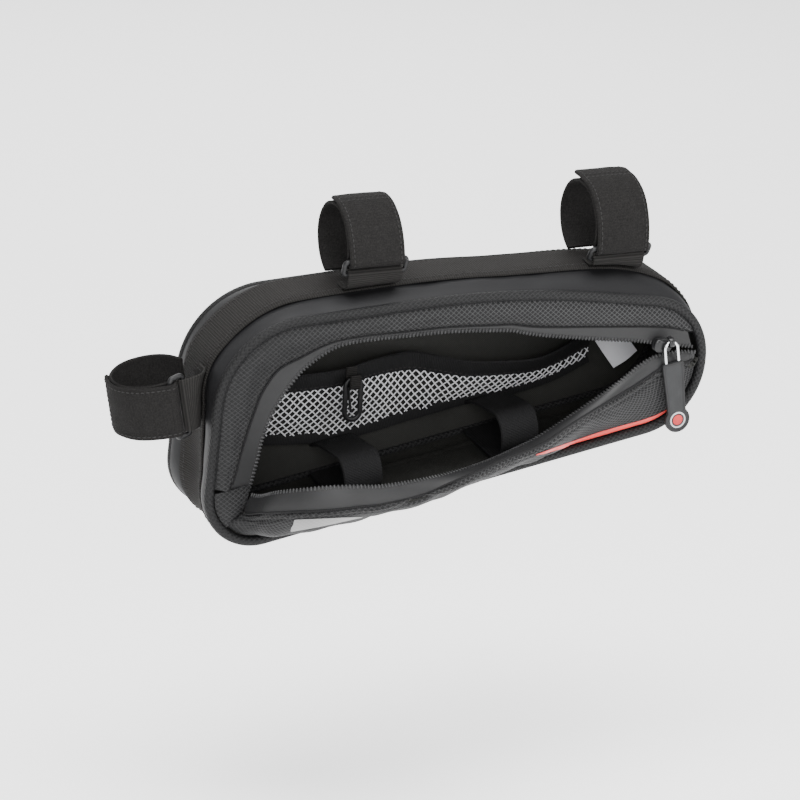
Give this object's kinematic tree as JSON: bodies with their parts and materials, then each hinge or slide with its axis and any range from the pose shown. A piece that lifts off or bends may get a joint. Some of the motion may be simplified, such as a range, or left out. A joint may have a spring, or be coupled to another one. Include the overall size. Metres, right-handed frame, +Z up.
{
  "type": "bicycle frame bag",
  "caption": "Slim soft bag that hangs in a bicycle's frame corner, its side zip open and the flap hanging as a pouch, with webbing, mesh pocket, pull and hook straps round the tubes.",
  "frame": {"origin": "on the top tube's axis, midway between the two top straps; the bag is held there and hangs below it", "axes": "+X along the top tube to the bicycle's front, +Y to the bicycle's left, +Z up, square to the top tube; the zip is on the -Y side"},
  "size_m": [0.318, 0.1092, 0.1709],
  "materials": {
    "ripstop": "matt woven cloth with a fine diamond grid",
    "coated_cloth": "coated cloth with a soft sheen",
    "ribbed_webbing": "matt ribbed webbing",
    "hook_strap": "matt hook and loop tape",
    "zip_tape": "smooth grey tape",
    "black_plastic": "satin moulded plastic",
    "bright_wire": "polished",
    "grey_rubber": "matt moulded rubber",
    "white_net": "coarse knitted net",
    "black_elastic": "matt elastic band",
    "white_label": "smooth woven label"
  },
  "bodies": {
    "bag": {"gusset": "coated_cloth", "gusset_webbing": "ribbed_webbing", "front_piping": "ripstop", "rear_piping": "ripstop", "rear_panel": "ripstop", "front_panel": "ripstop", "zip_tape_upper": "zip_tape", "front_flap": "ripstop", "zip_tape_lower": "zip_tape", "zip_end_patch": "ripstop", "zip_slider": "black_plastic", "strap_rear": "hook_strap", "strap_front": "hook_strap", "strap_seat": "hook_strap", "ring_rear": "black_plastic", "ring_front": "black_plastic", "ring_seat": "black_plastic", "ring_tab_rear": "ribbed_webbing", "ring_tab_front": "ribbed_webbing", "ring_tab_seat": "ribbed_webbing", "mesh_pocket": "white_net", "pocket_binding": "ribbed_webbing", "pump_loop_rear": "black_elastic", "pump_loop_front": "black_elastic", "hook_tape": "ribbed_webbing", "key_hook": "black_plastic", "care_label": "white_label"},
    "puller": {"pull_loop": "bright_wire", "pull_tab": "grey_rubber"}
  },
  "joints": [
    {"name": "pull_swing", "type": "hinge", "parent": "bag", "child": "puller", "pos_m": [0.09375, -0.0344, -0.0585], "axis": [-0.9863, 0, -0.165], "range_deg": [0, 150]}
  ]
}
